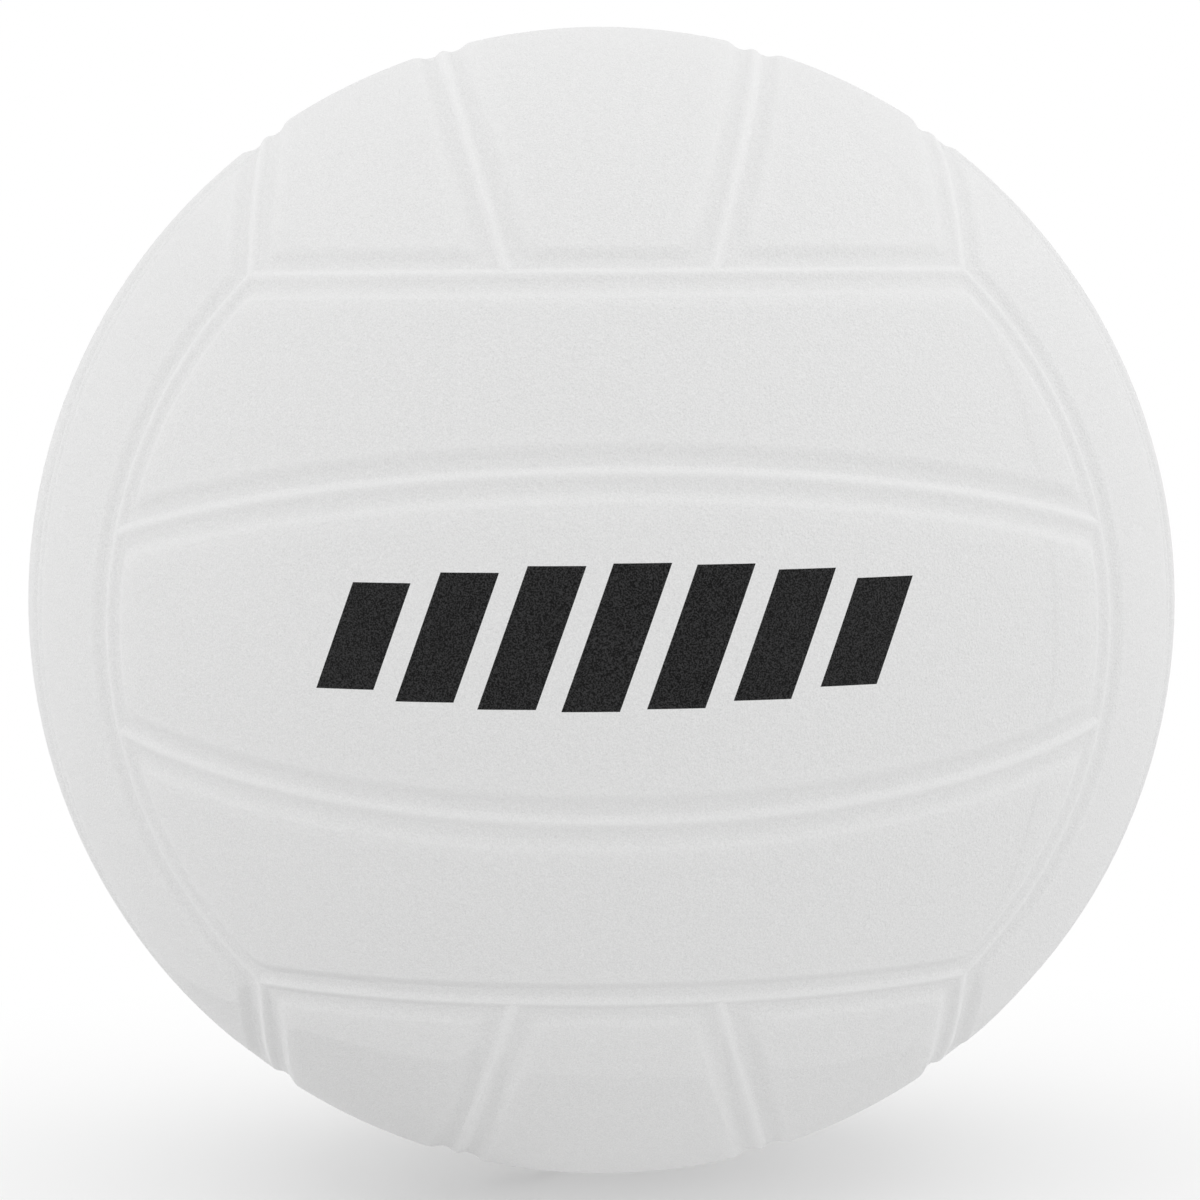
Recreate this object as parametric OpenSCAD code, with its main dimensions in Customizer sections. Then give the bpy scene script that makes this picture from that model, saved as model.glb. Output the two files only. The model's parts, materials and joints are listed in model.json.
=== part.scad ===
// Inflated ball with a cover of eighteen panels, in six groups of three.
// Lengths are in millimetres. The origin is the centre of the ball.
// +Z points out through the valve, and the front group faces -Y.

/* [Ball] */
// Outside diameter of the blown-up ball
ball_d = 210; // [150:1:240]

/* [Panel layout] */
// Angle from the middle of a group to each of its two inner seams, in degrees
strip_angle = 15.7; // [13:0.1:18]

/* [Cover] */
// Depth of the channel along each seam
channel_depth = 0.9; // [0.5:0.1:1.5]
// Width of the channel across its flat floor
channel_floor_w = 7.4; // [6:0.1:8.4]
// Width of the channel at the surface of the ball
channel_w = 10.8; // [10:0.1:14]
// Thickness of a panel under the channel floor
panel_floor_t = 0.7; // [0.5:0.1:1.5]
// Cement line between the layers of the ball
bond_gap = 0.05; // [0.04:0.01:0.1]

/* [Carcass] */
// Wall of the carcass between its ridges
carcass_t = 0.5; // [0.4:0.1:1.2]
// Width of the ridge that stands in each channel, at the channel's floor
ridge_w = 2.4; // [1.8:0.1:3.6]
// Width of the ridge across its flat top
ridge_top_w = 1.4; // [0.8:0.1:1.6]
// Height of the ridge above the channel floor
ridge_rise = 0.6; // [0.3:0.1:0.8]

/* [Inner layers] */
// Thickness of the wound thread layer
winding_t = 0.4; // [0.3:0.1:1]
// Wall of the bladder
bladder_t = 0.6; // [0.4:0.1:1.2]

/* [Valve] */
// Diameter of the seat's neck, which shows in the cover
neck_d = 9; // [8:0.5:11]
// Diameter of the seat's boss inside the bladder
boss_d = 12; // [11.5:0.5:16]
// Length of the boss below the bladder
boss_l = 10; // [8:0.5:16]
// Diameter of the flange that is bonded to the bladder
flange_d = 28; // [20:1:40]
// Thickness of the flange
flange_t = 1; // [0.8:0.1:2]
// Diameter of the plug in the seat
plug_d = 5; // [4:0.1:6]
// Diameter of the foot that keeps the plug in the seat
foot_d = 7.5; // [6.5:0.1:9]
// Thickness of the foot
foot_t = 2; // [1:0.1:3]
// Clearance round the plug
plug_gap = 0.05; // [0.04:0.01:0.1]
// Diameter of the hole for the pump's needle
needle_hole_d = 2; // [1.6:0.1:2.4]
// Depth of the needle hole below its mouth
needle_hole_l = 9; // [6:0.5:10]
// Width of the funnel at the mouth of the needle hole
funnel_d = 3.2; // [2.8:0.1:3.6]
// Depth of the funnel
funnel_l = 0.6; // [0.4:0.1:1]
// How far the valve lies below the surface of the ball
valve_recess = 0.3; // [0.1:0.1:0.6]

/* [Hidden] */
$fn = 128;
// How far a cut runs past the face that it opens
overrun = 1;

ball_r = ball_d / 2;
// Past the ball in every direction
far = ball_d;

// Radii of the layers, from the surface inward
floor_r = ball_r - channel_depth;
panel_r = floor_r - panel_floor_t;
carcass_r = panel_r - bond_gap;
winding_r = carcass_r - carcass_t - bond_gap;
bladder_r = winding_r - winding_t - bond_gap;
air_r = bladder_r - bladder_t;
ridge_r = floor_r + ridge_rise;
valve_r = ball_r - valve_recess;

// Seams between groups are the circles at this latitude, which meet at a cube's corners
edge_angle = asin(1 / sqrt(3));
// Distance from the centre to the flat that parts two groups inside their seam
edge = (floor_r + panel_r) / 2 * sin(edge_angle);

// Heights of the valve's faces along +Z
boss_z = air_r - boss_l;
needle_z = valve_r - needle_hole_l;

// A sphere whose poles lie well clear of every seam of the group that points along +Z
module ball(r) {
    rotate([90, 0, 0]) sphere(r);
}

module layer(outer_r, inner_r) {
    difference() {
        ball(outer_r);
        ball(inner_r);
    }
}

// A bar across a seam with sloping sides. It has one half width at a low radius and another
// at a high one, and runs straight on from them to its foot and its head.
module bar_section(low_r, low_half, high_r, high_half, foot_r, head_r) {
    slope = (high_half - low_half) / (high_r - low_r);
    foot_half = low_half + slope * (foot_r - low_r);
    head_half = low_half + slope * (head_r - low_r);
    polygon([[foot_r, -foot_half], [head_r, -head_half], [head_r, head_half], [foot_r, foot_half]]);
}

// What a channel takes out of the cover above its floor
module channel_section() {
    half_floor = channel_floor_w / 2;
    half_top = channel_w / 2;
    // The ball's surface curves down by this much on the way out to the channel's edge
    sag = ball_r - sqrt(ball_r * ball_r - half_top * half_top);
    bar_section(
        floor_r, half_floor, ball_r - sag, half_top,
        floor_r - channel_depth / 4, ball_r + overrun
    );
}

// The ridge that stands in a channel, with a gap on both sides, run on below its foot
module ridge_section(gap) {
    bar_section(
        floor_r, ridge_w / 2 + gap, ridge_r, ridge_top_w / 2 + gap,
        panel_r - overrun, ridge_r + ridge_rise / 4
    );
}

// Everything on the +Y side of a plane through the X axis
module beyond(tilt) {
    rotate([tilt, 0, 0]) translate([-far, 0, -far]) cube([2 * far, far, 2 * far]);
}

// The space that a group takes up, as a block on the +Z side
module group_block() {
    translate([-far, -edge, edge]) cube([2 * far, 2 * edge, far]);
}

// Runs a section along the circle at a latitude
module seam(latitude) {
    rotate_extrude() rotate(latitude) children();
}

// Runs a section along the inner seam on the +Y side of a group
module inner_seam() {
    rotate([-90 - strip_angle, 0, 0]) seam(0) children();
}

// Runs a section along the seam that ends a group on its +Y side
module side_seam() {
    rotate([-90, 0, 0]) seam(edge_angle) children();
}

// The middle strip of a group: the first child is its shell, the second is cut along its seams
module middle_strip() {
    difference() {
        difference() {
            difference() {
                intersection() {
                    children(0);
                    group_block();
                    beyond(-180 - strip_angle);
                    mirror([0, 1, 0]) beyond(-180 - strip_angle);
                }
                inner_seam() children(1);
            }
            mirror([0, 1, 0]) inner_seam() children(1);
        }
        seam(edge_angle) children(1);
    }
}

// The same for the strip on a group's +Y side, which ends at a side seam
module side_strip() {
    difference() {
        difference() {
            difference() {
                intersection() {
                    children(0);
                    group_block();
                    beyond(-strip_angle);
                }
                inner_seam() children(1);
            }
            side_seam() children(1);
        }
        seam(edge_angle) children(1);
    }
}

// One of the three strips of a group: -1 and 1 are its sides, 0 is its middle
module strip(place) {
    if (place == 0) {
        middle_strip() {
            children(0);
            children(1);
        }
    } else {
        mirror([0, place < 0 ? 1 : 0, 0]) side_strip() {
            children(0);
            children(1);
        }
    }
}

// Turns that bring a group from +Z to its own side of the ball. Its +Y side becomes the upper
// side of the front and back, the rear of the sides, the left of the top, the right of the bottom.
function front() = [90, 0, 0];
function back() = [90, 0, 180];
function left() = [0, -90, 0];
function right() = [0, 90, 0];
function top() = [0, 0, 90];
function bottom() = [180, 0, 90];
GROUPS = [front(), back(), left(), right(), top(), bottom()];

// A panel is a strip with channels along its edges, on a floor that reaches in to the ridges
module panel(group, place) {
    color("whitesmoke") rotate(group) {
        strip(place) {
            layer(ball_r, floor_r);
            channel_section();
        }
        strip(place) {
            layer(floor_r, panel_r);
            ridge_section(bond_gap);
        }
    }
}

// The hole that the seat's neck passes through
module neck_hole() {
    cylinder(h = far, d = neck_d + 2 * bond_gap);
}

module top_middle_panel() {
    difference() {
        panel(top(), 0);
        neck_hole();
    }
}

// The lining that the panels are cemented to, with the ridges that part them
module carcass() {
    color("whitesmoke") difference() {
        ball(ridge_r);
        for (group = GROUPS, place = [-1:1]) {
            rotate(group) strip(place) {
                layer(ridge_r + ridge_rise / 8, carcass_r);
                ridge_section(0);
            }
        }
        ball(carcass_r - carcass_t);
        neck_hole();
    }
}

// Many turns of thread set in rubber, as one layer
module thread_winding() {
    color("tan") difference() {
        layer(winding_r, winding_r - winding_t);
        neck_hole();
    }
}

// The bag that holds the air
module bladder() {
    color("dimgray") difference() {
        layer(bladder_r, air_r);
        neck_hole();
    }
}

// A flange bonded inside the bladder, a boss below it, and a neck out to the cover
module valve_seat() {
    color("dimgray") difference() {
        union() {
            intersection() {
                layer(air_r - bond_gap, air_r - bond_gap - flange_t);
                cylinder(h = far, d = flange_d);
            }
            translate([0, 0, boss_z]) cylinder(h = boss_l - flange_t / 2, d = boss_d);
            intersection() {
                translate([0, 0, boss_z]) cylinder(h = far, d = neck_d);
                ball(valve_r);
            }
        }
        cylinder(h = far, d = plug_d + 2 * plug_gap);
    }
}

// The plug that the needle goes into, with a foot that keeps it in the seat
module valve_plug() {
    color("black") difference() {
        union() {
            intersection() {
                translate([0, 0, boss_z - plug_gap - foot_t]) cylinder(h = far, d = plug_d);
                ball(valve_r);
            }
            translate([0, 0, boss_z - plug_gap - foot_t])
                cylinder(h = foot_t, d1 = plug_d, d2 = foot_d);
        }
        translate([0, 0, needle_z]) cylinder(h = far, d = needle_hole_d);
        translate([0, 0, valve_r - funnel_l])
            cylinder(h = funnel_l, d1 = needle_hole_d, d2 = funnel_d);
    }
}

panel(front(), 1);  // front_upper_panel
panel(front(), 0);  // front_middle_panel
panel(front(), -1);  // front_lower_panel
panel(back(), 1);  // back_upper_panel
panel(back(), 0);  // back_middle_panel
panel(back(), -1);  // back_lower_panel
panel(left(), -1);  // left_front_panel
panel(left(), 0);  // left_middle_panel
panel(left(), 1);  // left_rear_panel
panel(right(), -1);  // right_front_panel
panel(right(), 0);  // right_middle_panel
panel(right(), 1);  // right_rear_panel
panel(top(), 1);  // top_left_panel
top_middle_panel();
panel(top(), -1);  // top_right_panel
panel(bottom(), -1);  // bottom_left_panel
panel(bottom(), 0);  // bottom_middle_panel
panel(bottom(), 1);  // bottom_right_panel
carcass();
thread_winding();
bladder();
valve_seat();
valve_plug();
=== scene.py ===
# %% [markdown]
# # A moulded rubber volleyball
# The real ball is a layered thing. Eighteen rubber panels are cemented to a lining, thread is wound under
# the lining, and an air bag sits inside it all. Only the cover shows, so the cover gets the most care.
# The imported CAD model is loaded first. It fixes the size and the place of every piece.

import json
import math

import bmesh
import bpy
import numpy as np
from mathutils import Matrix, Quaternion, Vector

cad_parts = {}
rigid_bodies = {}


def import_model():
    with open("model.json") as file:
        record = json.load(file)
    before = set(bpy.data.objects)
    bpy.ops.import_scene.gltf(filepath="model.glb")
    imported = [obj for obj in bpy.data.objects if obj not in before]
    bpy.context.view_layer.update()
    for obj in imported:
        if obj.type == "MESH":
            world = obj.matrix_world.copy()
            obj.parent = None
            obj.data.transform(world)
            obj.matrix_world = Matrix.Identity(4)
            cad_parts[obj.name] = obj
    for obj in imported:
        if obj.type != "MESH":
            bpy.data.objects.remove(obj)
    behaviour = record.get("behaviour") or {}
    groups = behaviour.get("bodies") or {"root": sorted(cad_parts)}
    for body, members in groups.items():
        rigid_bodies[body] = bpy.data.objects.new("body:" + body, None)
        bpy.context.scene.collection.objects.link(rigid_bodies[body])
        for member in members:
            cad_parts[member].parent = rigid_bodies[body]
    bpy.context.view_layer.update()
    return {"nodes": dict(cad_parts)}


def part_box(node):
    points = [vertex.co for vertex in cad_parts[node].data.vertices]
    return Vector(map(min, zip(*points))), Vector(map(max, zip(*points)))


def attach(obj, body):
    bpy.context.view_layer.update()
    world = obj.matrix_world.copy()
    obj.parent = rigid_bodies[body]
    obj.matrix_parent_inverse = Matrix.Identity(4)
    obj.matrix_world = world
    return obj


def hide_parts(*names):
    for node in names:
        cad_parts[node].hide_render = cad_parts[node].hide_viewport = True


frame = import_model()

# %% [markdown]
# ## The camera
# The ball fills the picture, and its seams bend in a way that gives the camera away. Seven radii of
# distance, a look down of four and a half degrees and a small roll put the seams on their places. The
# radius is a hair less than the CAD's 105 mm, so that the rounder visual ball stays inside the CAD box.

# %% Camera at the photograph's angle
MM = 0.001
ball_r = 104.98 * MM
camera_distance = 7.36 * ball_r
camera_azimuth = math.radians(-1.32)
camera_elevation = math.radians(4.49)
camera_roll = math.radians(-0.45)
focal_length = 125.4
frame_shift = -0.00125
nearest_seen = 0.05
farthest_seen = 50

camera_back = Vector((
    math.sin(camera_azimuth) * math.cos(camera_elevation),
    -math.cos(camera_azimuth) * math.cos(camera_elevation),
    math.sin(camera_elevation),
))
camera_lens = bpy.data.cameras.new("photo_camera")
camera_lens.lens = focal_length
camera_lens.shift_x = frame_shift
camera_lens.clip_start = nearest_seen
camera_lens.clip_end = farthest_seen
camera = bpy.data.objects.new("photo_camera", camera_lens)
bpy.context.scene.collection.objects.link(camera)
camera.rotation_mode = "QUATERNION"
camera.location = camera_back * camera_distance
camera.rotation_quaternion = (-camera_back).to_track_quat("-Z", "Y") @ Quaternion((0, 0, 1), camera_roll)
bpy.context.scene.camera = camera
print("camera at", [round(value, 4) for value in camera.location])

# %% [markdown]
# ## How the seams run
# The ball is laid out like a cube that was blown up. Each of its six faces is a group of three strips.
# A group is bounded by circles that lie in flat planes, at a latitude of 35.3 degrees above the middle,
# and its inner seams are great circles, tilted a little. Every seam is then a circle on the ball, so it
# can be drawn by spinning one point about an axis. The front group is modelled, and the rest are copies.

# %% Seams as circles
edge_latitude = math.asin(1 / math.sqrt(3))
strip_tilt = math.radians(15.7)
SIDEWAYS = Vector((1, 0, 0))


def seam_axis(tilt):
    """The line that a seam turns about: upright, or leaning back by the tilt."""
    return Vector((0, math.sin(tilt), math.cos(tilt)))


def ball_point(tilt, latitude, turn, radius=ball_r):
    """A point of a circle round that line. A turn of 0 is the middle of the front group."""
    outward = Vector((0, -math.cos(tilt), math.sin(tilt)))
    around = SIDEWAYS * math.sin(turn) + outward * math.cos(turn)
    return (seam_axis(tilt) * math.sin(latitude) + around * math.cos(latitude)) * radius


def end_turn(tilt, latitude, gap):
    """The turn at which such a circle comes within the gap of the seam that closes the group."""
    reach = math.sin(edge_latitude + gap / ball_r) + math.sin(latitude) * math.sin(tilt)
    return math.acos(reach / (math.cos(latitude) * math.cos(tilt)))


print("strip length along its inner seam:", round(2 * end_turn(strip_tilt, 0, 0) * ball_r / MM, 1), "mm")

# %% [markdown]
# ## The channel between panels
# A seam on this ball isn't a stitch. It is a shallow channel with rounded shoulders and a low, soft ridge
# along its middle. One curve gives the height at each distance from the seam, for panels and ridge alike,
# so the two meet smoothly. The shoulders are also rounded where two seams meet.

# %% Heights across a channel
channel_depth = 0.9 * MM
ridge_rise = 0.6 * MM
ridge_spread = 1.75 * MM
shoulder_start = 2.6 * MM
shoulder_end = 5.4 * MM
corner_rounding = 2.6 * MM
panel_gap = 1.2 * MM


def ridge_height(gap):
    """The soft ridge: highest over the seam, and gone where the flat floor starts."""
    return ridge_rise * (0.5 + 0.5 * np.cos(np.pi * np.minimum(gap, ridge_spread) / ridge_spread))


def shoulder_height(gap):
    """The rounded side of the channel, from the floor up to the face of the panel."""
    part = np.clip((gap - shoulder_start) / (shoulder_end - shoulder_start), 0, 1)
    return channel_depth * part * part * (3 - 2 * part)


def seam_gaps(points, seams):
    """Distances over the ball from each point to each seam, given as a normal and a latitude."""
    ways = points / np.linalg.norm(points, axis=1)[:, None]
    gaps = []
    for normal, latitude in seams:
        above = np.arcsin(np.clip(ways @ np.array(normal), -1, 1)) - latitude
        gaps.append(np.abs(above) * ball_r)
    return gaps


def cover_height(gaps):
    """Height over the channel floor where several seams are near: ridges add up, shoulders blend."""
    nearest = gaps[0]
    blended = gaps[0]
    for gap in gaps[1:]:
        overlap = np.maximum(corner_rounding - np.abs(blended - gap), 0) / corner_rounding
        blended = np.minimum(blended, gap) - overlap ** 2 * corner_rounding / 4
        nearest = np.minimum(nearest, gap)
    return ridge_height(nearest) + shoulder_height(blended)


print("ridge top lies", round((channel_depth - ridge_rise) / MM, 2), "mm below the face")

# %% [markdown]
# ## Painted light and shade across a channel
# Lips and ridges stand proud and the floor of a channel lies low, so lips and ridges get a painted
# highlight and the floor gets a painted shade. A material could look for edges by itself, with the
# Pointiness of the Geometry node, but what that finds depends on how fine the mesh is. So the painted light
# is worked out from the distance to the seam instead. It is kept on each piece as a value at every point,
# which the material reads.

# %% Painted highlight and shade across a channel
# Where the painted highlight on ridges and lips and the painted shade on the channel floor lie, and how
# wide they are.
ridge_highlight_width = 0.75 * MM
lip_highlight = 0.75
lip_highlight_gap = 4.9 * MM
lip_highlight_width = 1.1 * MM
channel_shade_gap = 2.4 * MM
channel_shade_width = 1.0 * MM


def painted_highlight_and_shade(gaps):
    """Painted light at a place: above 0 for the painted highlight on lips and ridges, below 0 for the
    painted shade in the channel.
    """
    gap = np.minimum.reduce(gaps)
    ridge = np.exp(-(gap / ridge_highlight_width) ** 2)
    lip = lip_highlight * np.exp(-((gap - lip_highlight_gap) / lip_highlight_width) ** 2)
    channel_shade = np.exp(-((gap - channel_shade_gap) / channel_shade_width) ** 2)
    return ridge + lip - channel_shade


# Prints the painted light value on the ridge, on the shaded channel floor and on the lip.
for gap in (0, channel_shade_gap, lip_highlight_gap):
    print("rub mark at", round(gap / MM, 1), "mm from a seam:", round(float(painted_highlight_and_shade([np.array(gap)])), 2))

# %% [markdown]
# ## One strip, by spinning and bridging
# A strip could be cut out of a sphere, but the cuts would cross the sphere's own edges and leave slivers.
# Here seven rails are drawn instead. Each is one point, spun about its seam's line. Neighbouring rails are
# bridged, and the sheet is rounded onto the ball. Its rows then run along the seams, close together in the
# shoulders and wide apart on the plain face.

# %% Helpers for objects and edit mode
def select_only(piece):
    """Selects one object and nothing else, and makes it the active one."""
    bpy.ops.object.select_all(action="DESELECT")
    piece.select_set(True)
    bpy.context.view_layer.objects.active = piece


def start_sheet(name):
    """A new object at the origin with an empty mesh, left in edit mode."""
    bpy.ops.object.select_all(action="DESELECT")
    bpy.ops.mesh.primitive_plane_add(size=MM)
    piece = bpy.context.object
    piece.name = name
    piece.data.name = name
    bpy.ops.object.mode_set(mode="EDIT")
    bpy.ops.mesh.select_all(action="SELECT")
    bpy.ops.mesh.delete(type="VERT")
    return piece


def select_points(piece, wanted):
    """In edit mode, selects the points whose place passes the test."""
    bpy.ops.mesh.select_all(action="DESELECT")
    form = bmesh.from_edit_mesh(piece.data)
    for point in form.verts:
        point.select = wanted(point.co)
    form.select_flush_mode()
    bmesh.update_edit_mesh(piece.data)


def apply_modifier(piece, kind, **settings):
    """Adds one modifier, gives it its settings and applies it."""
    select_only(piece)
    modifier = piece.modifiers.new(kind.lower(), kind)
    for key, value in settings.items():
        setattr(modifier, key, value)
    bpy.ops.object.modifier_apply(modifier=modifier.name)


def round_onto_ball(piece, radius, group=""):
    """Moves points along their own radius to the given one, as far as the group's weights say."""
    apply_modifier(piece, "CAST", cast_type="SPHERE", factor=1.0, radius=0.0, size=radius,
                   use_radius_as_size=False, vertex_group=group)


print("modifiers are applied one by one")

# %% Rails
shoulder_steps = 14
long_steps = 44
seed_size = 0.01 * MM
rail_tolerance = 0.003 * MM


def draw_rail(tilt, latitude):
    """One point spun from end to end, in short steps through the two end shoulders."""
    near = end_turn(tilt, latitude, panel_gap)
    far = end_turn(tilt, latitude, shoulder_end)
    axis = seam_axis(tilt)
    bpy.ops.mesh.select_all(action="DESELECT")
    centre = axis * math.sin(latitude) * ball_r
    bpy.ops.mesh.primitive_plane_add(size=seed_size, location=ball_point(tilt, latitude, -near))
    bpy.ops.mesh.merge(type="CENTER")
    for steps, sweep in ((shoulder_steps, near - far), (long_steps, 2 * far), (shoulder_steps, near - far)):
        bpy.ops.mesh.spin(steps=steps, angle=-sweep, center=centre, axis=axis)


def on_rail(point, rail):
    """True for a point that lies in the flat plane of a rail."""
    tilt, latitude = rail
    return abs(point.dot(seam_axis(tilt)) - math.sin(latitude) * ball_r) < rail_tolerance


print("steps along a rail:", 2 * shoulder_steps + long_steps)

# %% Two strips from their rails
field_cuts = 2
field_rails = (0.25, 0.5, 0.75)


def make_strip(name, first, last):
    """A closed strip between two pairs of rails, each a seam's side and where its shoulder ends."""
    piece = start_sheet(name)
    rails = list(first)
    for part in field_rails:
        rails.append(tuple(a + (b - a) * part for a, b in zip(first[1], last[0])))
    rails += last
    for rail in rails:
        draw_rail(*rail)
    cuts = [shoulder_steps - 1] + [field_cuts] * 4 + [shoulder_steps - 1]
    for lower, upper, number in zip(rails, rails[1:], cuts):
        select_points(piece, lambda co: on_rail(co, lower) or on_rail(co, upper))
        bpy.ops.mesh.bridge_edge_loops(number_cuts=number, interpolation="LINEAR")
    bpy.ops.mesh.select_all(action="SELECT")
    bpy.ops.mesh.normals_make_consistent(inside=False)
    bpy.ops.object.mode_set(mode="OBJECT")
    face = piece.data.polygons[0]
    if face.normal.dot(face.center) < 0:
        piece.data.flip_normals()
    round_onto_ball(piece, ball_r)
    return piece


side_gap = panel_gap / ball_r
side_field = shoulder_end / ball_r
side_strip = make_strip(
    "side_strip",
    [(strip_tilt, side_gap), (strip_tilt, side_field)],
    [(0, edge_latitude - side_field), (0, edge_latitude - side_gap)],
)
middle_strip = make_strip(
    "middle_strip",
    [(strip_tilt, -side_gap), (strip_tilt, -side_field)],
    [(-strip_tilt, side_field), (-strip_tilt, side_gap)],
)
print("faces in a side strip:", len(side_strip.data.polygons), "middle:", len(middle_strip.data.polygons))

# %% [markdown]
# ## Thickness and shoulders
# Solidify gives the sheet its wall, down to the lining. Each point of the outer face then gets a weight
# that says how far it lies below the ball's full radius, and one Cast modifier lowers them all together.
# Moving along the radius keeps the walls straight, which moving along the normals wouldn't do.

# %% Wall and channel sides
panel_r = 103.4 * MM
skin_tolerance = 0.1 * MM
smooth_below = math.radians(40)
END_SEAM = ((0, -1, 0), edge_latitude)
TOP_SEAM = ((0, 0, 1), edge_latitude)
UPPER_SEAM = (tuple(seam_axis(strip_tilt)), 0)
LOWER_SEAM = ((0, math.sin(strip_tilt), -math.cos(strip_tilt)), 0)


def read_points(piece):
    """The piece's points as rows of numbers."""
    flat = np.empty(len(piece.data.vertices) * 3)
    piece.data.vertices.foreach_get("co", flat)
    return flat.reshape(-1, 3)


def store_painted_highlight_and_shade(piece, seams):
    """Keeps the painted highlight and shade on the piece as a value at each point, for its material."""
    values = painted_highlight_and_shade(seam_gaps(read_points(piece), seams))
    layer = piece.data.attributes.new("painted_highlight_and_shade", "FLOAT", "POINT")
    layer.data.foreach_set("value", values.astype(np.float32))


def shape_channel_sides(piece, seams):
    """Gives the strip its wall and lowers its edges into the channels."""
    apply_modifier(piece, "SOLIDIFY", thickness=ball_r - panel_r, offset=-1)
    points = read_points(piece)
    outer = np.linalg.norm(points, axis=1) > ball_r - skin_tolerance
    drop = 1 - cover_height(seam_gaps(points, seams)) / channel_depth
    group = piece.vertex_groups.new(name="drop")
    for index in np.nonzero(outer & (drop > 0))[0]:
        group.add([int(index)], float(drop[index]), "REPLACE")
    round_onto_ball(piece, ball_r - channel_depth, "drop")
    piece.vertex_groups.clear()
    # Stores the painted highlight and shade for the material.
    store_painted_highlight_and_shade(piece, seams)
    bpy.ops.object.shade_smooth_by_angle(angle=smooth_below)


shape_channel_sides(side_strip, [TOP_SEAM, UPPER_SEAM, END_SEAM])
shape_channel_sides(middle_strip, [UPPER_SEAM, LOWER_SEAM, END_SEAM])
print("lowest point of the outer face:",
      round((ball_r - channel_depth) / MM, 2), "mm from the middle")

# %% [markdown]
# ## Eighteen panels
# A group turns into each of the others by a plain rotation. The lower strip is the upper one turned over,
# so twelve panels come from one strip and six from the other. Each copy gets its own mesh, and its turn is
# applied, which leaves every object at the origin.

# %% Copies for the six groups
# For each group: its sideways and backward directions, and the names of its three strips from the top down.
GROUPS = {
    "front": ((1, 0, 0), (0, 1, 0), ("upper", "middle", "lower")),
    "back": ((-1, 0, 0), (0, -1, 0), ("upper", "middle", "lower")),
    "right": ((0, 0, 1), (-1, 0, 0), ("front", "middle", "rear")),
    "left": ((0, 0, 1), (1, 0, 0), ("rear", "middle", "front")),
    "top": ((0, 1, 0), (0, 0, -1), ("left", "middle", "right")),
    "bottom": ((0, 1, 0), (0, 0, 1), ("right", "middle", "left")),
}
TURN_OVER = Matrix.Rotation(math.pi, 4, "Y")


def group_turn(across, away):
    """The rotation that takes the front group's sideways and backward directions to the given ones."""
    up = Vector(across).cross(Vector(away))
    return Matrix((across, away, up)).transposed().to_4x4()


def turned_copy(model, name, turn):
    """A copy with its own mesh, turned into its place, with the turn applied."""
    select_only(model)
    bpy.ops.object.duplicate()
    piece = bpy.context.object
    piece.name = name
    piece.data.name = name
    piece.matrix_world = turn
    bpy.ops.object.transform_apply(location=True, rotation=True, scale=True)
    return piece


def remove_models(*models):
    """Deletes the models once their copies stand."""
    for model in models:
        bpy.data.objects.remove(model, do_unlink=True)


panels = {}
for group_name, (across, away, strip_names) in GROUPS.items():
    turn = group_turn(across, away)
    models = (side_strip, middle_strip, side_strip)
    overs = (Matrix(), Matrix(), TURN_OVER)
    for strip_name, model, over in zip(strip_names, models, overs):
        node_name = f"{group_name}_{strip_name}_panel"
        panels[node_name] = turned_copy(model, node_name + "_cover", turn @ over)
remove_models(side_strip, middle_strip)
for node_name, piece in panels.items():
    low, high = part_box(node_name)
    points = read_points(piece)
    off = max(np.abs(points.min(axis=0) - low).max(), np.abs(points.max(axis=0) - high).max())
    print(node_name, "is within", round(off / MM, 2), "mm of its CAD box")

# %% [markdown]
# ## The valve hole
# The top middle panel, the lining, the winding and the bladder all open for the valve's neck. A Boolean
# cuts each of them. The cutter is a cylinder that flares at its top along a quarter circle, so the rim
# that it leaves in the panel is rounded as a moulded edge is. A bevel after the cut would do the same on a
# plain face, but here it would run over the small faces that the cut leaves. The panel's face is refined
# round the hole first and its new points are rounded onto the ball, except along the border of that patch,
# where they have to stay on the straight edges of the larger faces beside it. The cutter is turned by half
# of one of its sides. Its corners then miss the edges of what it cuts, and no sliver of a face is left.

# %% The cutter
neck_hole_r = 4.55 * MM
rim_round = 0.35 * MM
rim_steps = 6
cutter_sides = 96
cutter_low = 0.8 * ball_r
cutter_top = 5 * MM
facing_up = 0.9


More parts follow.
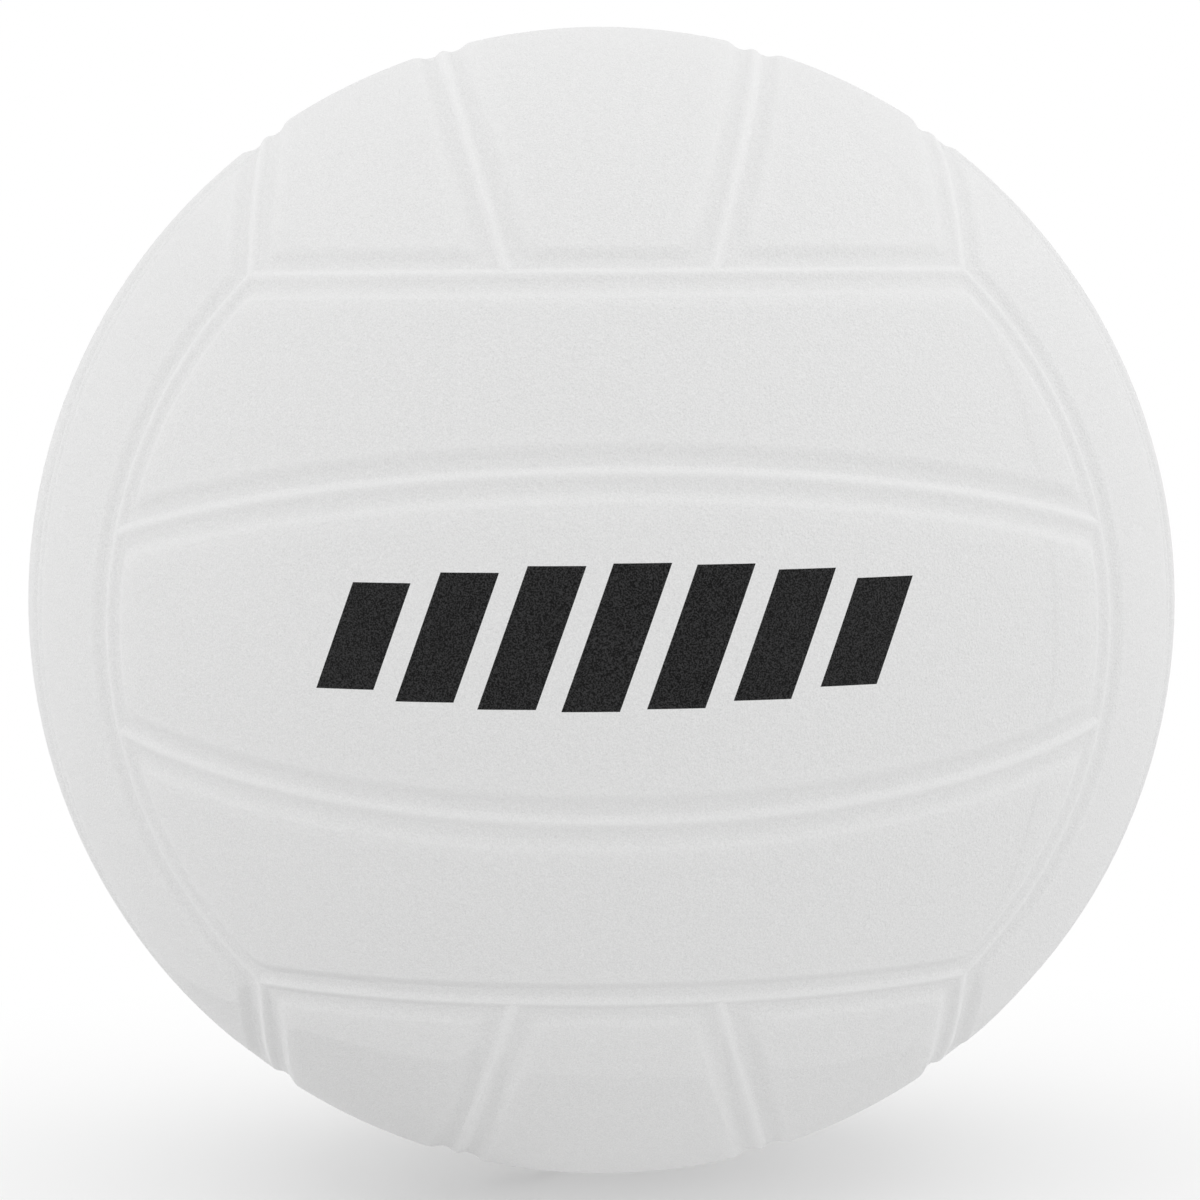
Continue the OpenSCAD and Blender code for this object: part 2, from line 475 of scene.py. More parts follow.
def make_cutter():
    """A cylinder round the +Z axis, widened at the ball's face along a quarter circle."""
    rim_z = math.sqrt(ball_r ** 2 - (neck_hole_r + rim_round) ** 2) - rim_round
    bpy.ops.object.select_all(action="DESELECT")
    bpy.ops.mesh.primitive_cylinder_add(vertices=cutter_sides, radius=neck_hole_r, depth=rim_z - cutter_low,
                                        location=(0, 0, (rim_z + cutter_low) / 2),
                                        rotation=(0, 0, math.pi / cutter_sides))
    cutter = bpy.context.object
    bpy.ops.object.transform_apply(location=True, rotation=True)
    bpy.ops.object.mode_set(mode="EDIT")
    bpy.ops.mesh.select_mode(type="FACE")
    bpy.ops.mesh.select_all(action="DESELECT")
    form = bmesh.from_edit_mesh(cutter.data)
    for face in form.faces:
        face.select_set(face.normal.z > facing_up)
    bmesh.update_edit_mesh(cutter.data)
    radius = neck_hole_r
    height = 0.0
    for step in range(1, rim_steps + 1):
        angle = math.pi / 2 * step / rim_steps
        rise = rim_round * math.sin(angle) - height
        wider = (neck_hole_r + rim_round * (1 - math.cos(angle))) / radius
        bpy.ops.mesh.extrude_region_move(TRANSFORM_OT_translate={"value": (0, 0, rise)})
        bpy.ops.transform.resize(value=(wider, wider, 1), center_override=(0, 0, 0))
        radius *= wider
        height += rise
    bpy.ops.mesh.extrude_region_move(TRANSFORM_OT_translate={"value": (0, 0, cutter_top)})
    bpy.ops.mesh.select_mode(type="VERT")
    bpy.ops.object.mode_set(mode="OBJECT")
    return cutter


def cut_neck_hole(piece):
    """Takes the cutter's shape out of the piece."""
    cutter = make_cutter()
    apply_modifier(piece, "BOOLEAN", operation="DIFFERENCE", solver="EXACT", object=cutter)
    bpy.data.objects.remove(cutter, do_unlink=True)


print("the rounded rim is", round(2 * (neck_hole_r + rim_round) / MM, 2), "mm across")

# %% Refine the panel's face and cut the hole
patch_reach = 11 * MM
patch_cuts = 3


def in_patch(co):
    """True for a point of the outer face near the top of the ball."""
    return co.z > 0 and math.hypot(co.x, co.y) < patch_reach and co.length > ball_r - skin_tolerance


valve_panel = panels["top_middle_panel"]
select_only(valve_panel)
bpy.ops.object.mode_set(mode="EDIT")
select_points(valve_panel, in_patch)
bpy.ops.mesh.subdivide(number_cuts=patch_cuts)
bpy.ops.mesh.select_less()
bpy.ops.object.mode_set(mode="OBJECT")
face_group = valve_panel.vertex_groups.new(name="face")
face_group.add([point.index for point in valve_panel.data.vertices if point.select], 1.0, "REPLACE")
round_onto_ball(valve_panel, ball_r, "face")
valve_panel.vertex_groups.clear()
cut_neck_hole(valve_panel)
bpy.ops.object.shade_smooth_by_angle(angle=smooth_below)
print("faces in the panel with the valve hole:", len(valve_panel.data.polygons))

# %% [markdown]
# ## The carcass and its ridges
# The ridge that stands in each channel belongs to the lining under the panels. Its section is drawn once
# for each kind of seam and spun along it. The section dips under the panels at both sides, as rubber that
# was pressed together in a mould does. All ridges are joined to the hollow lining.

# %% Ridges spun along the seams
ridge_wing = 0.35 * MM
ridge_foot_r = 103.0 * MM
ridge_tuck = 0.06 * MM
ridge_points = 17
ridge_end_gap = 0.3 * MM
group_half_turn = math.radians(45)
group_ridge_steps = 72
strip_ridge_steps = 96
ridge_smooth_below = math.radians(50)


def ridge_section():
    """Points across the ridge as a distance from the seam and a radius, crown first and then the feet."""
    half = panel_gap + ridge_wing
    section = []
    for index in range(ridge_points):
        gap = half * (2 * index / (ridge_points - 1) - 1)
        tuck = ridge_tuck * max(abs(gap) - panel_gap, 0) / ridge_wing
        section.append((gap, ball_r - channel_depth + float(ridge_height(abs(gap))) - tuck))
    return section + [(half, ridge_foot_r), (-half, ridge_foot_r)]


def spin_ridge(name, tilt, latitude, reach, steps):
    """A closed ridge along one seam, from one end of its turn to the other."""
    section = ridge_section()
    bpy.ops.object.select_all(action="DESELECT")
    bpy.ops.mesh.primitive_circle_add(vertices=len(section), radius=MM)
    piece = bpy.context.object
    piece.name = name
    for point, (gap, radius) in zip(piece.data.vertices, section):
        point.co = ball_point(tilt, latitude + gap / ball_r, -reach, radius)
    bpy.ops.object.mode_set(mode="EDIT")
    bpy.ops.mesh.select_all(action="SELECT")
    bpy.ops.mesh.spin(steps=steps, angle=-2 * reach, center=(0, 0, 0), axis=seam_axis(tilt))
    bpy.ops.mesh.select_all(action="SELECT")
    bpy.ops.mesh.fill_holes(sides=0)
    bpy.ops.mesh.select_all(action="SELECT")
    bpy.ops.mesh.normals_make_consistent(inside=False)
    bpy.ops.object.mode_set(mode="OBJECT")
    # The ridge gets the painted highlight and shade too.
    store_painted_highlight_and_shade(piece, [(tuple(seam_axis(tilt)), latitude)])
    bpy.ops.object.shade_smooth_by_angle(angle=ridge_smooth_below)
    return piece


strip_half_turn = end_turn(strip_tilt, 0, ridge_end_gap)
group_ridge = spin_ridge("group_ridge", 0, edge_latitude, group_half_turn, group_ridge_steps)
strip_ridge = spin_ridge("strip_ridge", strip_tilt, 0, strip_half_turn, strip_ridge_steps)
ridges = []
for across, away, _ in GROUPS.values():
    turn = group_turn(across, away)
    for over in (Matrix(), TURN_OVER):
        for model in (group_ridge, strip_ridge):
            ridges.append(turned_copy(model, "ridge", turn @ over))
remove_models(group_ridge, strip_ridge)
print("ridges:", len(ridges))

# %% Hollow balls for the lining, the winding and the bladder
carcass_r = 103.35 * MM
carcass_wall = 0.5 * MM
winding_r = 102.8 * MM
winding_wall = 0.4 * MM
bladder_r = 102.35 * MM
bladder_wall = 0.6 * MM
ball_segments = 96
ball_rings = 48


def hollow_ball(name, radius, wall):
    """A thin ball with its wall inside the given radius, opened at the top for the valve's neck."""
    bpy.ops.object.select_all(action="DESELECT")
    bpy.ops.mesh.primitive_uv_sphere_add(segments=ball_segments, ring_count=ball_rings, radius=radius)
    piece = bpy.context.object
    piece.name = name
    piece.data.name = name
    apply_modifier(piece, "SOLIDIFY", thickness=wall, offset=-1)
    cut_neck_hole(piece)
    bpy.ops.object.shade_smooth_by_angle(angle=smooth_below)
    return piece


def join_all(main, others):
    """Joins the other pieces into the main one."""
    select_only(main)
    for piece in others:
        piece.select_set(True)
    bpy.ops.object.join()
    return main


carcass = join_all(hollow_ball("carcass_lining", carcass_r, carcass_wall), ridges)
print("points in the carcass:", len(carcass.data.vertices))

# %% [markdown]
# ## The winding and the bladder
# Neither shows from outside, but both are there. Thread is wound round the bladder in great circles, each
# turned a little from the last, so that the ball stays round. Each turn is a thin torus on a thin shell.
# The bladder is blown from two halves, and its join is a low bead on the inner side.

# %% Wind the thread
thread_r = 0.2 * MM
thread_proud = 0.15 * MM
thread_clearance = 0.01 * MM
thread_turns = 64
thread_sides = 5
turn_segments = 80
lowest_lift = 0.08
lift_range = 0.9
GOLDEN_ANGLE = math.pi * (3 - math.sqrt(5))

winding = hollow_ball("thread_winding_turns", winding_r - thread_proud, winding_wall - thread_proud)
turn_r = winding_r - thread_r - thread_clearance
turns = []
for index in range(thread_turns):
    lift = lowest_lift + lift_range * (index + 0.5) / thread_turns
    spread = math.sqrt(1 - lift * lift)
    pole = Vector((spread * math.cos(index * GOLDEN_ANGLE), spread * math.sin(index * GOLDEN_ANGLE), lift))
    bpy.ops.object.select_all(action="DESELECT")
    bpy.ops.mesh.primitive_torus_add(major_radius=turn_r, minor_radius=thread_r,
                                     major_segments=turn_segments, minor_segments=thread_sides,
                                     rotation=pole.to_track_quat("Z", "Y").to_euler())
    bpy.ops.object.transform_apply(location=True, rotation=True, scale=True)
    bpy.ops.object.shade_smooth()
    turns.append(bpy.context.object)
join_all(winding, turns)
print("points in the winding:", len(winding.data.vertices))

# %% Blow the bladder
bead_r = 0.45 * MM
bead_sides = 8

bladder = hollow_ball("bladder_bag", bladder_r, bladder_wall)
bpy.ops.object.select_all(action="DESELECT")
bpy.ops.mesh.primitive_torus_add(major_radius=bladder_r - bladder_wall, minor_radius=bead_r,
                                 major_segments=ball_segments, minor_segments=bead_sides)
bpy.ops.object.shade_smooth()
join_all(bladder, [bpy.context.object])
print("points in the bladder:", len(bladder.data.vertices))

# %% [markdown]
# ## Shader building blocks
# Moulded rubber isn't smooth: the mould was blasted, so the face carries a fine grain. The grain and the
# slow unevenness of the skin are one node group, and the small marks from use are another. A group has
# named inputs, so it is made once here and then placed in several materials, each with its own values.

# %% Node helpers
def new_group(name, inputs, outputs):
    """A shader node group with the given sockets. Inputs are pairs of a name and a default, or None."""
    tree = bpy.data.node_groups.new(name, "ShaderNodeTree")
    for label, default in inputs:
        kind = "NodeSocketVector" if default is None else "NodeSocketFloat"
        socket = tree.interface.new_socket(label, in_out="INPUT", socket_type=kind)
        if default is not None:
            socket.default_value = default
    for label in outputs:
        tree.interface.new_socket(label, in_out="OUTPUT", socket_type="NodeSocketFloat")
    return tree, tree.nodes.new("NodeGroupInput"), tree.nodes.new("NodeGroupOutput")


def add_node(tree, kind, settings=None, **wires):
    """Adds a node. Settings are its properties. Wires are values or sockets for its inputs, by name."""
    node = tree.nodes.new(kind)
    for key, value in (settings or {}).items():
        setattr(node, key, value)
    for label, value in wires.items():
        socket = node.inputs[label.replace("_", " ")]
        if isinstance(value, bpy.types.NodeSocket):
            tree.links.new(value, socket)
        else:
            socket.default_value = value
    return node


def math_node(tree, operation, first, second=0.0, clamp=False):
    """A Math node, given as its result socket."""
    node = tree.nodes.new("ShaderNodeMath")
    node.operation = operation
    node.use_clamp = clamp
    for socket, value in zip(node.inputs, (first, second)):
        if isinstance(value, bpy.types.NodeSocket):
            tree.links.new(value, socket)
        else:
            socket.default_value = value
    return node.outputs[0]


print("helpers for shader nodes are ready")

# %% Grain and unevenness
grain, grain_in, grain_out = new_group(
    "moulded_grain",
    [("Vector", None), ("Grain Size", 0.3), ("Grain Depth", 1.0), ("Unevenness", 1.0)],
    ["Height", "Tone", "Patch"],
)
MM_PER_METRE = 1000.0
pit_scale = 0.45
fine_share = 0.7
pit_share = 0.5
slow_scale = 38.0
per_metre = math_node(grain, "DIVIDE", MM_PER_METRE, grain_in.outputs["Grain Size"])
fine = add_node(grain, "ShaderNodeTexNoise", Vector=grain_in.outputs["Vector"], Scale=per_metre,
                Detail=2.0, Roughness=0.6)
pits = add_node(grain, "ShaderNodeTexVoronoi", {"feature": "SMOOTH_F1"}, Vector=grain_in.outputs["Vector"],
                Scale=math_node(grain, "MULTIPLY", per_metre, pit_scale), Smoothness=0.6)
slow = add_node(grain, "ShaderNodeTexNoise", Vector=grain_in.outputs["Vector"], Scale=slow_scale,
                Detail=3.0, Roughness=0.5)
fine_height = math_node(grain, "ADD", math_node(grain, "MULTIPLY", fine.outputs["Fac"], fine_share),
                        math_node(grain, "MULTIPLY", pits.outputs["Distance"], pit_share))
fine_height = math_node(grain, "MULTIPLY", fine_height, grain_in.outputs["Grain Depth"])
slow_height = math_node(grain, "MULTIPLY", slow.outputs["Fac"], grain_in.outputs["Unevenness"])
grain.links.new(math_node(grain, "ADD", fine_height, slow_height), grain_out.inputs["Height"])
grain.links.new(fine.outputs["Fac"], grain_out.inputs["Tone"])
grain.links.new(slow.outputs["Fac"], grain_out.inputs["Patch"])
print("group:", grain.name)

# %% Small marks from use
marks, marks_in, marks_out = new_group(
    "small_marks",
    [("Vector", None), ("Spacing", 28.0), ("Share", 0.3)],
    ["Specks", "Scuffs"],
)
largest_speck = 0.012
smear_scale = 90.0
scuff_threshold = 0.66
scuff_gain = 5.0
mark_scale = math_node(marks, "DIVIDE", MM_PER_METRE, marks_in.outputs["Spacing"])
cells = add_node(marks, "ShaderNodeTexVoronoi", Vector=marks_in.outputs["Vector"], Scale=mark_scale)
chosen = add_node(marks, "ShaderNodeSeparateColor", Color=cells.outputs["Color"])
is_chosen = math_node(marks, "LESS_THAN", chosen.outputs["Red"], marks_in.outputs["Share"])
speck_size = math_node(marks, "MULTIPLY", chosen.outputs["Green"], largest_speck)
is_speck = math_node(marks, "LESS_THAN", cells.outputs["Distance"], speck_size)
marks.links.new(math_node(marks, "MULTIPLY", is_chosen, is_speck), marks_out.inputs["Specks"])
smear = add_node(marks, "ShaderNodeTexNoise", Vector=marks_in.outputs["Vector"], Scale=smear_scale,
                 Detail=6.0, Roughness=0.75, Distortion=0.8)
strong = math_node(marks, "SUBTRACT", smear.outputs["Fac"], scuff_threshold, clamp=True)
marks.links.new(math_node(marks, "MULTIPLY", strong, scuff_gain, clamp=True), marks_out.inputs["Scuffs"])
print("group:", marks.name)

# %% [markdown]
# ## The print on the front
# The middle panel carries a print in black ink: a plain row of slanted bars, tallest in the middle.
# It is a mask worked out from the place on the panel, and not an image. Each bar is found by dividing the
# slanted sideways distance by the pitch, and its height comes from the bar's number.

# %% Slanted bars as a mask
bars, bars_in, bars_out = new_group(
    "slanted_bars",
    [("Vector", None), ("Pitch", 13.6), ("Width", 9.4), ("Height", 23.8), ("Slant", 0.36),
     ("Centre Z", 2.1)],
    ["Mask"],
)
bar_count = 7
bar_shortening = 0.03
place = add_node(bars, "ShaderNodeSeparateXYZ", Vector=bars_in.outputs["Vector"])
bar_x = math_node(bars, "MULTIPLY", place.outputs["X"], MM_PER_METRE)
bar_z = math_node(bars, "SUBTRACT", math_node(bars, "MULTIPLY", place.outputs["Z"], MM_PER_METRE),
                  bars_in.outputs["Centre Z"])
leaning = math_node(bars, "SUBTRACT", bar_x, math_node(bars, "MULTIPLY", bar_z, bars_in.outputs["Slant"]))
count = math_node(bars, "DIVIDE", leaning, bars_in.outputs["Pitch"])
number = math_node(bars, "ROUND", count)
from_middle = math_node(bars, "ABSOLUTE", math_node(bars, "SUBTRACT", count, number))
half_width = math_node(bars, "DIVIDE", math_node(bars, "MULTIPLY", bars_in.outputs["Width"], 0.5),
                       bars_in.outputs["Pitch"])
in_width = math_node(bars, "LESS_THAN", from_middle, half_width)
rank = math_node(bars, "ABSOLUTE", number)
in_row = math_node(bars, "LESS_THAN", rank, bar_count / 2)
shortening = math_node(bars, "MULTIPLY", math_node(bars, "POWER", rank, 2.0), bar_shortening)
taper = math_node(bars, "SUBTRACT", 1.0, shortening)
middle_half = math_node(bars, "MULTIPLY", bars_in.outputs["Height"], 0.5)
half_height = math_node(bars, "MULTIPLY", middle_half, taper)
in_height = math_node(bars, "LESS_THAN", math_node(bars, "ABSOLUTE", bar_z), half_height)
on_front = math_node(bars, "LESS_THAN", place.outputs["Y"], 0.0)
mask = math_node(bars, "MULTIPLY", in_width, in_row)
mask = math_node(bars, "MULTIPLY", mask, math_node(bars, "MULTIPLY", in_height, on_front))
bars.links.new(mask, bars_out.inputs["Mask"])
print("bars in the row:", bar_count)

# %% [markdown]
# ## Materials
# The cover is white rubber with a dull skin, so it is rough, with a low, wide gloss. Its colour follows the
# grain, and the darkest specks are about one part in seven darker than the lightest. A painted highlight
# lightens lips and ridges a little, and a painted shade darkens the channel floors. The values that are the
# same all over sit on the shader itself.

# %% Helpers for materials
NOISE_LOW = 0.3
NOISE_HIGH = 0.7


def start_material(name, specular, sheen=0.0):
    """A material with its shader, the object's own coordinates and no other nodes yet."""
    material = bpy.data.materials.new(name)
    material.use_nodes = True
    tree = material.node_tree
    shader = tree.nodes["Principled BSDF"]
    shader.inputs["Specular IOR Level"].default_value = specular
    shader.inputs["Sheen Weight"].default_value = sheen
    place = tree.nodes.new("ShaderNodeTexCoord").outputs["Object"]
    return material, tree, shader, place


def place_group(tree, group, place, **values):
    """Puts a node group into a material and feeds it the place on the object."""
    node = tree.nodes.new("ShaderNodeGroup")
    node.node_tree = group
    tree.links.new(place, node.inputs["Vector"])
    for label, value in values.items():
        node.inputs[label.replace("_", " ")].default_value = value
    return node


def mix_colours(tree, factor, first, second):
    """A colour between two colours. A Mix node's colour sockets are 6 and 7, and its result is 2."""
    node = tree.nodes.new("ShaderNodeMix")
    node.data_type = "RGBA"
    for socket, value in ((node.inputs[0], factor), (node.inputs[6], first), (node.inputs[7], second)):
        if isinstance(value, bpy.types.NodeSocket):
            tree.links.new(value, socket)
        elif isinstance(value, float):
            socket.default_value = value
        else:
            socket.default_value = (*value, 1.0)
    return node.outputs[2]


def add_bump(tree, shader, height, distance, strength=1.0):
    """A Bump node between a height and the shader's normal."""
    bump = add_node(tree, "ShaderNodeBump", Height=height, Distance=distance, Strength=strength)
    tree.links.new(bump.outputs["Normal"], shader.inputs["Normal"])


def ranged(tree, value, low, high, out_low, out_high):
    """Spreads one range of a value over another, and stops at its ends."""
    node = add_node(tree, "ShaderNodeMapRange", Value=value, From_Min=low, From_Max=high,
                    To_Min=out_low, To_Max=out_high)
    return node.outputs["Result"]


def noise_to(tree, noise, out_low, out_high):
    """Spreads the middle range of a noise, where most of its values lie, over another range."""
    return ranged(tree, noise, NOISE_LOW, NOISE_HIGH, out_low, out_high)


print("helpers for materials are ready")

# %% White cover rubber
lightest_grain = (0.868, 0.868, 0.868)
darkest_grain = (0.748, 0.748, 0.748)
scuffed_grey = tuple(0.93 * value for value in darkest_grain)
# Painted highlight colour for lips and ridges, and painted shade colour for channel floors.
highlight_white = (0.885, 0.885, 0.885)
shade_grey = (0.70, 0.70, 0.70)
speck_white = (0.94, 0.94, 0.94)
ink_black = (0.001, 0.001, 0.001)
ink_grey = (0.038, 0.038, 0.039)
ink_tones = (0.42, 0.62)
scuffed_share = 0.35
# How strongly the scuffs, the painted highlight and the painted shade show.
highlight_share = 0.24
shade_share = 0.06
skin_gloss = 0.15
skin_roughness = (0.56, 0.70)
skin_relief = 0.25 * MM


def make_cover_rubber(name, grain_depth=1.0, printed=False):
    """The moulded white skin, with or without the print."""
    material, tree, shader, place = start_material(name, skin_gloss)
    skin = place_group(tree, grain, place, Grain_Size=0.26, Grain_Depth=grain_depth, Unevenness=1.6)
    spots = place_group(tree, marks, place, Spacing=30.0, Share=0.16)
    grain_tone = noise_to(tree, skin.outputs["Tone"], 0.0, 1.0)
    colour = mix_colours(tree, grain_tone, darkest_grain, lightest_grain)
    scuffed = math_node(tree, "MULTIPLY", spots.outputs["Scuffs"], scuffed_share)
    colour = mix_colours(tree, scuffed, colour, scuffed_grey)
    # Painted highlight lightens lips and ridges, and painted shade darkens channel floors.
    painted_light_value = add_node(tree, "ShaderNodeAttribute", {"attribute_name": "painted_highlight_and_shade"}).outputs["Fac"]
    colour = mix_colours(tree, ranged(tree, painted_light_value, 0.0, 1.0, 0.0, highlight_share), colour, highlight_white)
    colour = mix_colours(tree, ranged(tree, painted_light_value, 0.0, -1.0, 0.0, shade_share), colour, shade_grey)
    colour = mix_colours(tree, spots.outputs["Specks"], colour, speck_white)
    if printed:
        ink = place_group(tree, bars, place)
        ink_tone = ranged(tree, skin.outputs["Tone"], *ink_tones, 0.0, 1.0)
        ink_colour = mix_colours(tree, ink_tone, ink_black, ink_grey)
        colour = mix_colours(tree, ink.outputs["Mask"], colour, ink_colour)
    tree.links.new(colour, shader.inputs["Base Color"])
    tree.links.new(noise_to(tree, skin.outputs["Patch"], *skin_roughness), shader.inputs["Roughness"])
    add_bump(tree, shader, skin.outputs["Height"], skin_relief)
    return material


cover_rubber = make_cover_rubber("cover_rubber")
printed_rubber = make_cover_rubber("printed_cover_rubber", printed=True)
carcass_rubber = make_cover_rubber("ridge_rubber", grain_depth=0.7)
print("cover materials:", cover_rubber.name, printed_rubber.name, carcass_rubber.name)

# %% Thread
dark_fibre = (0.46, 0.38, 0.26)
light_fibre = (0.68, 0.60, 0.46)
fibre_gloss = 0.3
fibre_sheen = 0.25
fibre_roughness = (0.6, 0.8)
fibre_relief = 0.05 * MM


def make_thread():
    """Waxed thread: a warm, slightly glossy fibre with fine twist marks."""
    material, tree, shader, place = start_material("waxed_thread", fibre_gloss, fibre_sheen)
    fibres = place_group(tree, grain, place, Grain_Size=0.15, Grain_Depth=1.0, Unevenness=0.4)
    tint = noise_to(tree, fibres.outputs["Tone"], 0.0, 1.0)
    tree.links.new(mix_colours(tree, tint, dark_fibre, light_fibre), shader.inputs["Base Color"])
    tree.links.new(noise_to(tree, fibres.outputs["Patch"], *fibre_roughness), shader.inputs["Roughness"])
    add_bump(tree, shader, fibres.outputs["Height"], fibre_relief)
    return material


thread = make_thread()
print("thread material:", thread.name)

# %% Dark rubber
dark_gloss = 0.5
dark_patches = (0.35, 0.65)
dark_relief = 0.03 * MM
bloom_share = 0.25
bloom_lift = 0.06
smoother = -0.06
rougher = 0.08


def make_dark_rubber(name, dark, light, roughness):
    """Black rubber as used for bladders and valves, with a soft shine and a little bloom."""
    material, tree, shader, place = start_material(name, dark_gloss)
    skin = place_group(tree, grain, place, Grain_Size=0.5, Grain_Depth=0.5, Unevenness=0.8)
    dust = place_group(tree, marks, place, Spacing=12.0, Share=0.3)
    colour = mix_colours(tree, ranged(tree, skin.outputs["Patch"], *dark_patches, 0.0, 1.0), dark, light)
    bloom = math_node(tree, "MULTIPLY", dust.outputs["Scuffs"], bloom_share)
    colour = mix_colours(tree, bloom, colour, tuple(value + bloom_lift for value in light))
    tree.links.new(colour, shader.inputs["Base Color"])
    spread = noise_to(tree, skin.outputs["Tone"], roughness + smoother, roughness + rougher)
    tree.links.new(spread, shader.inputs["Roughness"])
    add_bump(tree, shader, skin.outputs["Height"], dark_relief)
    return material


bladder_rubber = make_dark_rubber("bladder_rubber", (0.022, 0.022, 0.023), (0.045, 0.045, 0.046), 0.45)
plug_rubber = make_dark_rubber("plug_rubber", (0.012, 0.012, 0.012), (0.028, 0.028, 0.029), 0.38)
print("dark rubbers:", bladder_rubber.name, plug_rubber.name)

# %% [markdown]
# ## Dress the pieces
# Every new piece takes one material, rides on the ball's body and stands for its CAD node. The valve's two
# small parts keep their CAD shapes and only get better materials.

# %% Materials, bodies and nodes
def dress(piece, material, node_name):
    """Gives a piece its material, puts it on the ball's body and hides the CAD node that it stands for."""
    piece.data.materials.clear()
    piece.data.materials.append(material)
    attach(piece, "root")
    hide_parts(node_name)


for node_name, piece in panels.items():
    skin_material = printed_rubber if node_name == "front_middle_panel" else cover_rubber
    dress(piece, skin_material, node_name)
dress(carcass, carcass_rubber, "carcass")
dress(winding, thread, "thread_winding")
dress(bladder, bladder_rubber, "bladder")
for node_name, material in (("valve_seat", bladder_rubber), ("valve_plug", plug_rubber)):
    for slot in frame["nodes"][node_name].material_slots:
        slot.material = material
print("pieces dressed:", len(panels) + 3)

# %% [markdown]
# ## Floor, backdrop and light
# The photograph shows the ball on pure white, lit softly from all round. The world gives nearly all of that
# light. It is a little stronger at the sides than in front, behind and overhead, as between the walls of a
# white tent. The floor gives less light than the world, so the ball darkens slowly towards its foot. One
# wide, weak lamp overhead adds a touch from above. Near the ball the floor is a plain pale surface that
# holds its shadow, and further off it is white to the camera.

# %% Floor
floor_z = -105 * MM
floor_size = 24
floor_colour = (0.9, 0.9, 0.9, 1.0)
floor_roughness = 0.9
floor_gloss = 0.1
shadow_near = 0.05
shadow_far = 0.22
table_light = 0.885
table_share = 0.9


def background_rays(tree):
    """1 for rays that show the background: from the camera, off gloss or through glass. Otherwise 0."""
    path = tree.nodes.new("ShaderNodeLightPath").outputs
    indirect = math_node(tree, "MAXIMUM", path["Is Glossy Ray"], path["Is Transmission Ray"])
    return math_node(tree, "MAXIMUM", path["Is Camera Ray"], indirect)


bpy.ops.object.select_all(action="DESELECT")
bpy.ops.mesh.primitive_plane_add(size=floor_size, location=(0, 0, floor_z))
floor = bpy.context.object
floor.name = "studio_floor"
floor_material = bpy.data.materials.new("studio_floor")
floor_material.use_nodes = True
floor_tree = floor_material.node_tree
floor_shader = floor_tree.nodes["Principled BSDF"]
floor_shader.inputs["Base Color"].default_value = floor_colour
floor_shader.inputs["Roughness"].default_value = floor_roughness
floor_shader.inputs["Specular IOR Level"].default_value = floor_gloss
floor_place = floor_tree.nodes.new("ShaderNodeTexCoord").outputs["Object"]
floor_reach = add_node(floor_tree, "ShaderNodeVectorMath", {"operation": "LENGTH"})
floor_tree.links.new(floor_place, floor_reach.inputs[0])
far_off = ranged(floor_tree, floor_reach.outputs["Value"], shadow_near, shadow_far, 0.0, 1.0)
seen = background_rays(floor_tree)
diffuse_ray = floor_tree.nodes.new("ShaderNodeLightPath").outputs["Is Diffuse Ray"]
hidden_mix = math_node(floor_tree, "MULTIPLY", diffuse_ray, table_share)
white_strength = ranged(floor_tree, seen, 0.0, 1.0, table_light, 1.0)
white = add_node(floor_tree, "ShaderNodeEmission", Color=(1.0, 1.0, 1.0, 1.0), Strength=white_strength)
white_share = math_node(floor_tree, "ADD", math_node(floor_tree, "MULTIPLY", seen, far_off), hidden_mix)
floor_mix = add_node(floor_tree, "ShaderNodeMixShader", Fac=white_share)
floor_tree.links.new(floor_shader.outputs["BSDF"], floor_mix.inputs[1])
floor_tree.links.new(white.outputs["Emission"], floor_mix.inputs[2])
floor_tree.links.new(floor_mix.outputs["Shader"], floor_tree.nodes["Material Output"].inputs["Surface"])
floor.data.materials.append(floor_material)
print("floor at", floor_z)

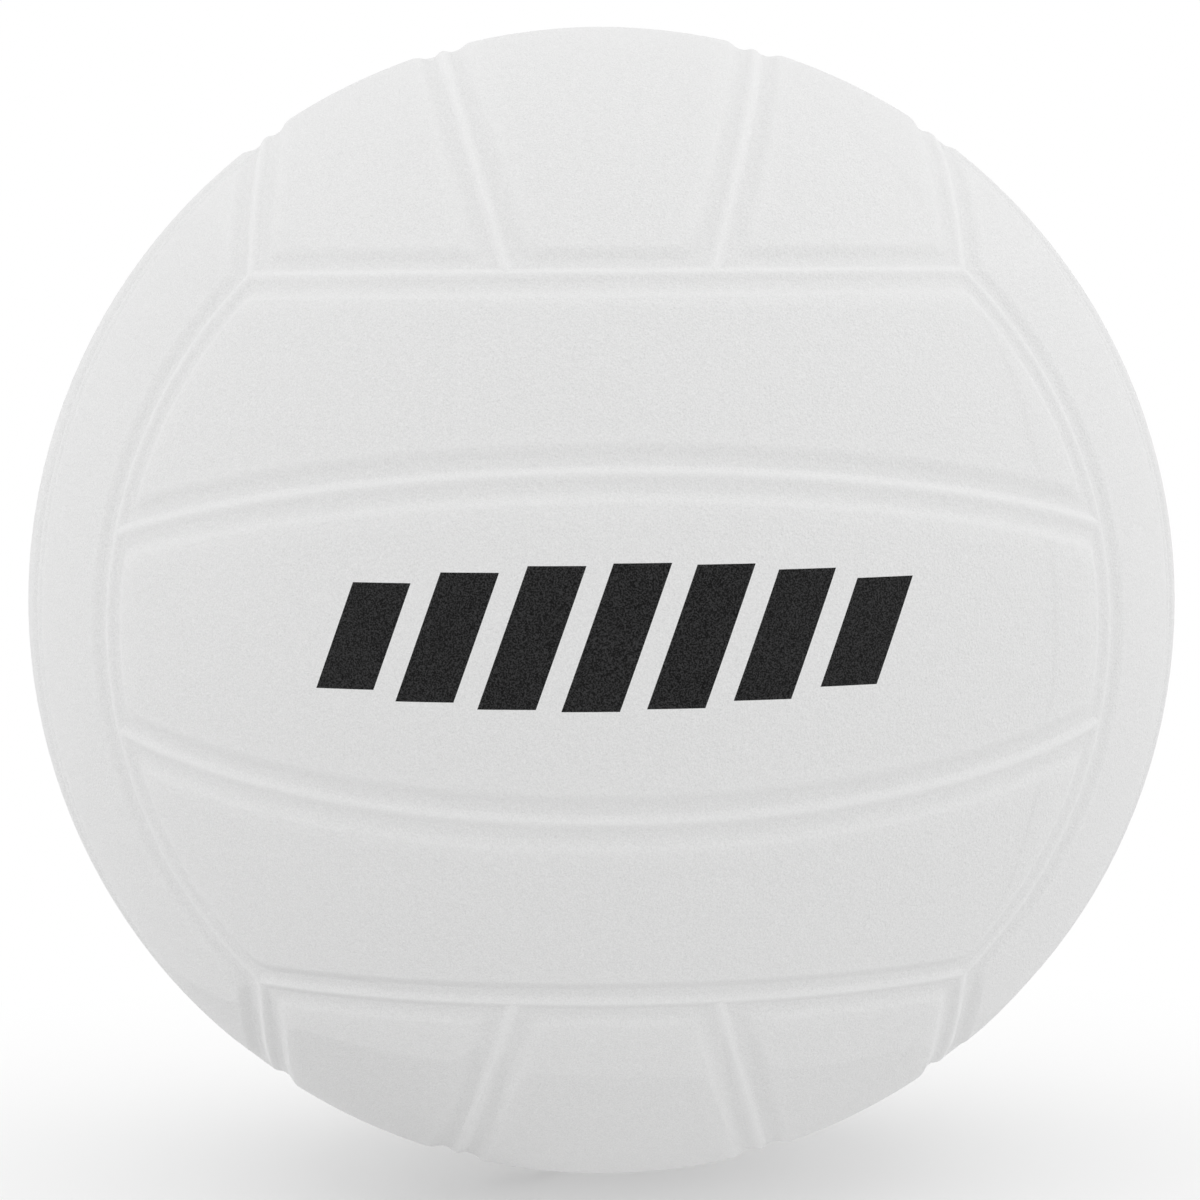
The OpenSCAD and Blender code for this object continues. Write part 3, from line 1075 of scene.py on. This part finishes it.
# %% World
world_light = 1.26
light_falls = Vector((0.02, 0.06, -0.225))
light_spread = Vector((0.31, -0.25, 0.0))


def dot_product(tree, direction, factors):
    """The dot product of a direction and three fixed factors, given as its result socket."""
    node = add_node(tree, "ShaderNodeVectorMath", {"operation": "DOT_PRODUCT"})
    tree.links.new(direction, node.inputs[0])
    node.inputs[1].default_value = factors
    return node.outputs["Value"]


world = bpy.data.worlds.new("studio_world")
bpy.context.scene.world = world
world.use_nodes = True
world_tree = world.node_tree
backdrop = world_tree.nodes["Background"]
backdrop.inputs["Color"].default_value = (1.0, 1.0, 1.0, 1.0)
direction = world_tree.nodes.new("ShaderNodeTexCoord").outputs["Generated"]
squared = add_node(world_tree, "ShaderNodeVectorMath", {"operation": "MULTIPLY"})
world_tree.links.new(direction, squared.inputs[0])
world_tree.links.new(direction, squared.inputs[1])
soft_light = math_node(world_tree, "ADD", dot_product(world_tree, direction, light_falls), 1.0)
spread = dot_product(world_tree, squared.outputs["Vector"], light_spread)
soft_light = math_node(world_tree, "ADD", soft_light, spread)
soft_light = math_node(world_tree, "MULTIPLY", soft_light, world_light)
world_strength = ranged(world_tree, background_rays(world_tree), 0.0, 1.0, soft_light, 1.0)
world_tree.links.new(world_strength, backdrop.inputs["Strength"])
print("world light:", world_light)

# %% Lamp
lamp_place = (0.1, -0.3, 1.6)
lamp_size = 1.8
lamp_power = 0.4


def soft_lamp(name, place, size, power):
    """A square area lamp that points at the ball."""
    lamp = bpy.data.lights.new(name, "AREA")
    lamp.shape = "SQUARE"
    lamp.size = size
    lamp.energy = power
    holder = bpy.data.objects.new(name, lamp)
    bpy.context.scene.collection.objects.link(holder)
    holder.location = place
    holder.rotation_mode = "QUATERNION"
    holder.rotation_quaternion = (-Vector(place)).to_track_quat("-Z", "Y")
    return holder


overhead = soft_lamp("overhead_lamp", lamp_place, lamp_size, lamp_power)
bpy.context.scene.view_settings.view_transform = "Standard"
print(overhead.name, "power:", overhead.data.energy, "watts")
